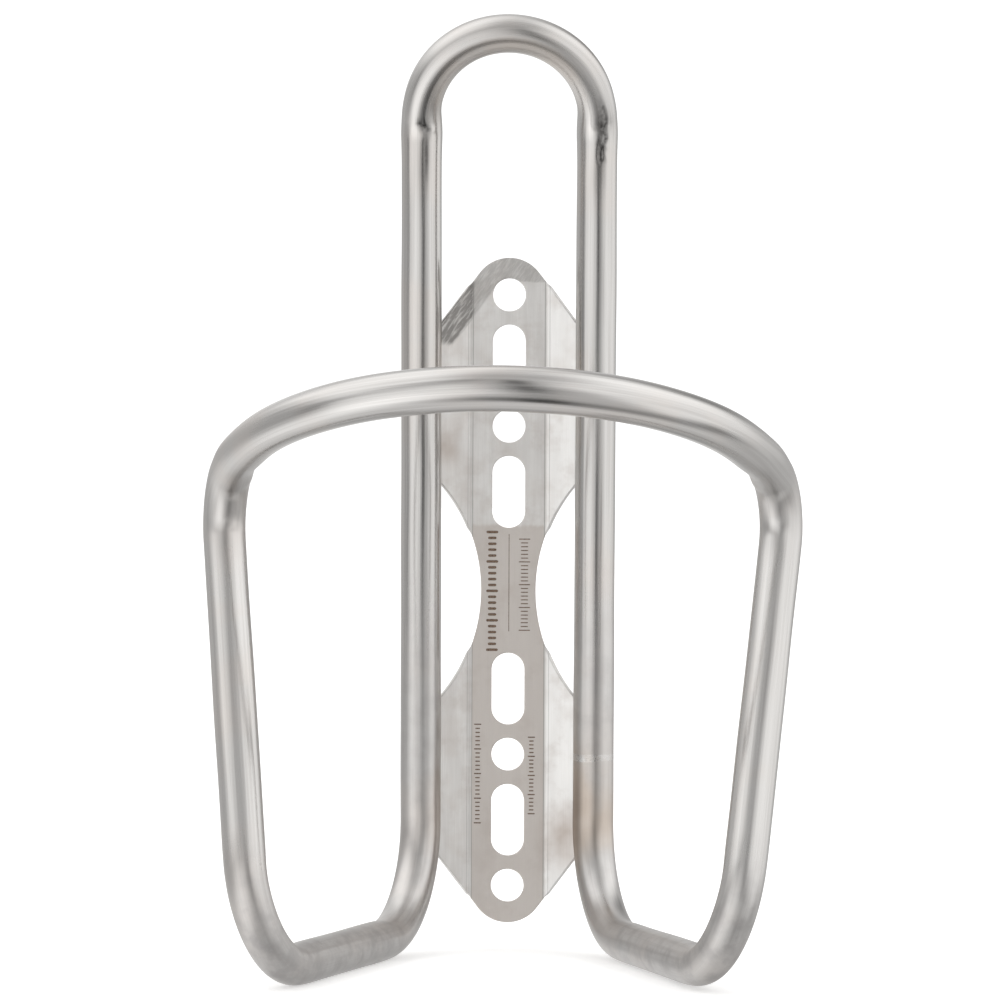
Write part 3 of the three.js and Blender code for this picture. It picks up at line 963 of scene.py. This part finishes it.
def plate_material():
    """Brushed titanium sheet: painted shade on the top end, along the left slanting edge and, warmer, on
    the lower strip, a painted highlight on the right wing, press lines beside the folds.
    """
    finish = Finish("brushed_titanium_sheet", SHEET_DARK)
    place = finish.position()
    x, y, z = finish.axes(place)
    fine = finish.noise(finish.scaled(place, (9, 9, 0.12)), detail=4, roughness=0.7)
    broad = finish.noise(finish.scaled(place, (0.5, 0.5, 0.06)), detail=3)
    patches = finish.noise(place, scale=0.16, detail=3)
    width = finish.math("ABSOLUTE", x)
    finish.paint(finish.ranged(broad, 0.3, 0.7), SHEET)
    finish.paint(finish.ranged(fine, 0.4, 0.7, 0, 0.5), SHEET_DARK)
    # The marks below lie on the front face alone. The middle of the sheet's thickness divides it.
    beyond_fold = finish.math("MAXIMUM", finish.math("SUBTRACT", width, FOLD_HALF_WIDTH), 0.0)
    middle = finish.times(beyond_fold, math.tan(FOLD_ANGLE))
    from_middle = finish.plus(finish.plus(y, middle), PLATE_THICKNESS / 2)
    front = finish.ranged(from_middle, -0.1, 0.1, 1, 0)
    # Painted highlight: the right wing's front is painted lighter, standing in for the light it catches.
    right_wing_highlight = finish.ranged(x, FOLD_HALF_WIDTH, FOLD_HALF_WIDTH + 0.5, 0, 0.45)
    finish.paint(finish.times(right_wing_highlight, front), SHEET_PAINTED_HIGHLIGHT)
    # Painted shade: the flat strip below the waist's top edge is painted warmer and darker than the wings.
    strip = finish.ranged(width, FOLD_HALF_WIDTH - 0.2, FOLD_HALF_WIDTH, 1, 0)
    uneven = finish.plus(z, finish.times(broad, 2))
    below = finish.ranged(uneven, STRIP_SHADE_TOP, STRIP_SHADE_TOP + 0.7, 1, 0)
    strip_shade = finish.times(finish.times(strip, below), STRIP_SHADE_SHARE)
    strip_shade = finish.times(strip_shade, front)
    finish.paint(strip_shade, SHEET_WARM)
    finish.paint(finish.ranged(patches, 0.5, 0.72, 0, 0.35), SHEET_WARM)
    stains = finish.noise(place, scale=0.22, detail=4, roughness=0.6)
    stained = finish.times(finish.ranged(stains, 0.45, 0.72, 0, 0.35), front)
    finish.paint(stained, SHEET_STAINED)
    # Painted shade over the top end and a band along its left slanting edge, with file marks in it.
    cos, sin = math.cos(TIP_HALF_ANGLE), math.sin(TIP_HALF_ANGLE)
    across = finish.times(x, -cos)
    across = finish.plus(across, finish.times(z, sin))
    lengthwise = finish.plus(finish.times(x, sin), finish.times(z, cos))
    edge = tip_row * sin + TIP_RADIUS
    band = finish.ranged(across, edge - BAND_WIDTH, edge - BAND_WIDTH + 0.6)
    uneven = finish.plus(z, patches)
    band = finish.times(band, finish.ranged(uneven, BAND_BOTTOM, BAND_BOTTOM + 1.2))
    end_row = tip_row + SHADE_ABOVE_TIP_ROW
    end = finish.ranged(uneven, end_row, end_row + 0.4)
    shaded_and_filed = finish.times(finish.math("MAXIMUM", band, end), front)
    stretched = {0: finish.times(across, 2.6), 1: finish.times(lengthwise, 0.35)}
    file_place = finish.node("ShaderNodeCombineXYZ", stretched)
    file_marks = finish.noise(file_place, detail=3, roughness=0.7)
    left_wing = finish.ranged(x, -6.2, -5.2, 1.0, 0.35)
    scratched = finish.times(finish.ranged(file_marks, 0.35, 0.6, 0.3, 1.0), left_wing)
    painted_shade_share = finish.times(shaded_and_filed, finish.plus(scratched, 0.15))
    finish.paint(painted_shade_share, SHEET_SHADE_AND_PRESS_LINES)
    # Thin lines where the press folded the wings.
    for offset, depth in FOLD_LINES:
        off_line = finish.math("ABSOLUTE", finish.math("SUBTRACT", width, FOLD_HALF_WIDTH + offset))
        finish.paint(finish.ranged(off_line, 0.03, 0.10, depth, 0.0), SHEET_SHADE_AND_PRESS_LINES)
    # Faint heat colour beside two of the welds.
    for spot, reach, depth in HEAT_SPOTS:
        heated = finish.ranged(finish.distance(place, spot), reach * 0.15, reach, depth, 0)
        finish.paint(finish.times(heated, patches), BRONZE)
    roughness = finish.ranged(fine, 0.3, 0.7, 0.44, 0.54)
    finish.emboss(fine, 0.004)
    finish.emboss(finish.times(file_marks, shaded_and_filed), 0.05)
    return finish.finished(roughness)


def weld_material(name, heat):
    """Weld metal: rippled by its shape, with more or less of the straw and bronze heat colours."""
    finish = Finish(name, TITANIUM)
    place = finish.position()
    patches = finish.noise(place, scale=0.7, detail=3)
    grain = finish.noise(place, scale=5, detail=3)
    finish.paint(finish.ranged(patches, 0.35, 0.65, 0, heat), STRAW)
    finish.paint(finish.ranged(grain, 0.5, 0.75, 0, 0.35 * heat), BRONZE)
    roughness = finish.ranged(grain, 0.3, 0.7, 0.24, 0.4)
    finish.emboss(grain, 0.01)
    return finish.finished(roughness)


def etch_material():
    """Marks burnt into the plate by a laser: dark brown, slightly uneven."""
    finish = Finish("laser_etched", ETCHED)
    place = finish.position()
    grain = finish.noise(place, scale=6, detail=2)
    finish.paint(finish.ranged(grain, 0.3, 0.7), BRONZE)
    roughness = finish.ranged(grain, 0.3, 0.7, 0.5, 0.65)
    finish.emboss(grain, 0.003)
    return finish.finished(roughness)


def plug_material():
    """Turned plug inside the joint: fine rings round it."""
    finish = Finish("turned_titanium", TITANIUM_DARK)
    place = finish.position()
    rings = finish.noise(finish.scaled(place, (0.3, 0.3, 12)), detail=3)
    finish.paint(finish.ranged(rings, 0.3, 0.7), TITANIUM)
    roughness = finish.ranged(rings, 0.3, 0.7, 0.25, 0.4)
    finish.emboss(rings, 0.01)
    return finish.finished(roughness)


# -------- studio
STUDIO_LEVEL = 1.68
# Soft boxes and dark gaps round the object. Each has a direction (azimuth from the camera towards
# +X, elevation), a roll, half its width and height, the softness of its edge, all in degrees,
# and how much light it adds.
SOFT_BOXES = {
    "high_left": (-118, 54, 6, 60, 26, 13, 0.39),
    "front_left": (-36, -8, 18, 32, 26, 11, 0.35),
    "right": (82, 22, 30, 44, 40, 13, 0.37),
    "low_left": (-115, -40, -10, 80, 18, 12, 0.24),
    "overhead": (0, 105, 0, 60, 24, 14, 0.16),
    "belt": (0, 0, 0, 180, 12, 10, -0.035),
    "floor_glow": (0, -80, 0, 60, 26, 14, 0.12),
    "front_gap": (12.5, -8, 5, 5.5, 52, 6.5, -0.42),
    "front_bounce": (13.9, -26, 5, 5.5, 14, 6.5, 0.26),
    "slanted_gap": (-52, 26, 42, 40, 6, 8, -0.30),
    "low_right_gap": (56, -48, 24, 46, 11, 10, -0.32),
    "left_gap": (-100, 6, 0, 16, 20, 12, -0.05),
    "behind_gap": (180, 0, 0, 30, 60, 14, -0.12),
    "high_behind_gap": (178, 40, 0, 36, 16, 9, -0.26),
}
STUDIO_BASE = 0.42
STUDIO_DARKEST = 0.03
STUDIO_WHITE = rgb(1.0, 0.995, 0.985)


class Studio(Nodes):
    """The world's light, worked out from the direction alone."""

    def __init__(self, world):
        super().__init__(world.node_tree)
        self.background = self.tree.nodes["Background"]
        self.direction = self.node("ShaderNodeTexCoord", {}, "Generated")

    def along(self, axis):
        return self.vector_math("DOT_PRODUCT", self.direction, axis, "Value")

    def soft_edge(self, angle, half, softness):
        near, far = math.radians(half - softness), math.radians(half + softness)
        return self.ranged(self.math("ABSOLUTE", angle), near, far, 1.0, 0.0)

    def soft_box(self, azimuth, elevation, roll, half_width, half_height, softness, amount):
        a, e, r = (math.radians(angle) for angle in (azimuth, elevation, roll))
        ahead = Vector((math.cos(e) * math.sin(a), -math.cos(e) * math.cos(a), math.sin(e)))
        level = Vector((math.cos(a), math.sin(a), 0))
        upright = ahead.cross(level)
        right = level * math.cos(r) + upright * math.sin(r)
        up = upright * math.cos(r) - level * math.sin(r)
        sideways = self.math("ARCTAN2", self.along(right), self.along(ahead))
        upwards = self.math("ARCSINE", self.along(up))
        wide = self.soft_edge(sideways, half_width, softness)
        high = self.soft_edge(upwards, half_height, softness)
        return self.times(self.times(wide, high), amount)


def studio_world():
    """Soft light from all round, brighter in the soft boxes and darker in the gaps between."""
    world = bpy.data.worlds.new("studio")
    world.use_nodes = True
    studio = Studio(world)
    level = STUDIO_BASE
    for box in SOFT_BOXES.values():
        level = studio.plus(level, studio.soft_box(*box))
    level = studio.times(studio.math("MAXIMUM", level, STUDIO_DARKEST), STUDIO_LEVEL)
    studio.feed(studio.background.inputs["Strength"], level)
    studio.background.inputs["Color"].default_value = STUDIO_WHITE
    bpy.context.scene.world = world


BOWL_SIDES = 96
FLOOR_RADIUS = 4500
WALL_HEIGHT = 4000


def stage_material(name, reflected, glow):
    """A white stage surface that reflects some light and gives off a little of its own."""
    material = bpy.data.materials.new(name)
    material.use_nodes = True
    sockets = material.node_tree.nodes["Principled BSDF"].inputs
    sockets["Base Color"].default_value = rgb(reflected, reflected, reflected)
    sockets["Roughness"].default_value = 1.0
    sockets["Specular IOR Level"].default_value = 0.0
    sockets["Emission Color"].default_value = rgb(1, 1, 1)
    sockets["Emission Strength"].default_value = glow
    return material


def stage_bowl(name, profile, material):
    """A stage surface turned round the object's middle, from (radius, height) points in mm."""
    points = []
    for radius, height in profile:
        for angle in round_angles(BOWL_SIDES):
            points.append((radius * math.cos(angle), radius * math.sin(angle), height))
    mesh = bpy.data.meshes.new(name)
    faces = ring_faces(len(profile), BOWL_SIDES)
    faces.append(tuple(range(BOWL_SIDES)))
    mesh.from_pydata((np.array(points) * MM).tolist(), [], faces)
    mesh.materials.append(material)
    bowl = bpy.data.objects.new(name, mesh)
    bpy.context.scene.collection.objects.link(bowl)
    bowl.visible_glossy = False
    return bowl


def studio_stage():
    """A white floor under the object and a white wall far round it. Neither shows in the metal."""
    ground = cad_low.z / MM
    floor_white = stage_material("floor_white", 0.92, 0.32)
    stage_bowl("floor", [(10, ground), (FLOOR_RADIUS, ground)], floor_white)
    wall_white = stage_material("wall_white", 0.0, 1.2)
    wall = stage_bowl(
        "backdrop", [(FLOOR_RADIUS * 0.98, ground - 1), (FLOOR_RADIUS * 0.98, WALL_HEIGHT)], wall_white
    )
    wall.visible_diffuse = False
    wall.visible_shadow = False


# -------- camera
CAMERA_TARGET = (-1.26, -RAIL_SETBACK, 14.31)
CAMERA_DISTANCE = 754.7
CAMERA_YAW = math.radians(-1.78)
CAMERA_PITCH = math.radians(0.8)
CAMERA_ROLL = math.radians(0.23)
SENSOR_WIDTH = 36
LENS = 172.8


def photo_camera():
    """The camera in front of the cage, a little to its right and looking slightly down."""
    across, along = math.sin(CAMERA_YAW), math.cos(CAMERA_YAW)
    level, drop = math.cos(CAMERA_PITCH), math.sin(CAMERA_PITCH)
    ahead = Vector((across * level, along * level, -drop))
    right = Vector((along, -across, 0))
    up = right.cross(ahead)
    data = bpy.data.cameras.new("camera")
    data.sensor_width = SENSOR_WIDTH
    data.lens = LENS
    data.clip_start = 0.05
    data.clip_end = 20
    camera = bpy.data.objects.new("camera", data)
    place = Vector(CAMERA_TARGET) * MM - ahead * CAMERA_DISTANCE * MM
    turned = Matrix((right, up, -ahead)).transposed() @ Matrix.Rotation(CAMERA_ROLL, 3, "Z")
    camera.matrix_world = Matrix.Translation(place) @ turned.to_4x4()
    bpy.context.scene.collection.objects.link(camera)
    bpy.context.scene.camera = camera


# -------- assembly
def dress_cad_node(node, material):
    """A CAD node that stays as it is gets its material."""
    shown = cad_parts[node]
    shown.data.materials.clear()
    shown.data.materials.append(material)


heat_tinted = weld_material("heat_tinted_weld", 1.0)
frame_tube(tube_material())
joint_ring(weld_material("ground_weld", 0.25))
mounting_plate(plate_material())
etched_marks(etch_material())
weld_beads(heat_tinted)
dress_cad_node("joint_plug", plug_material())

studio_world()
studio_stage()
photo_camera()
bpy.context.scene.view_settings.view_transform = "Standard"
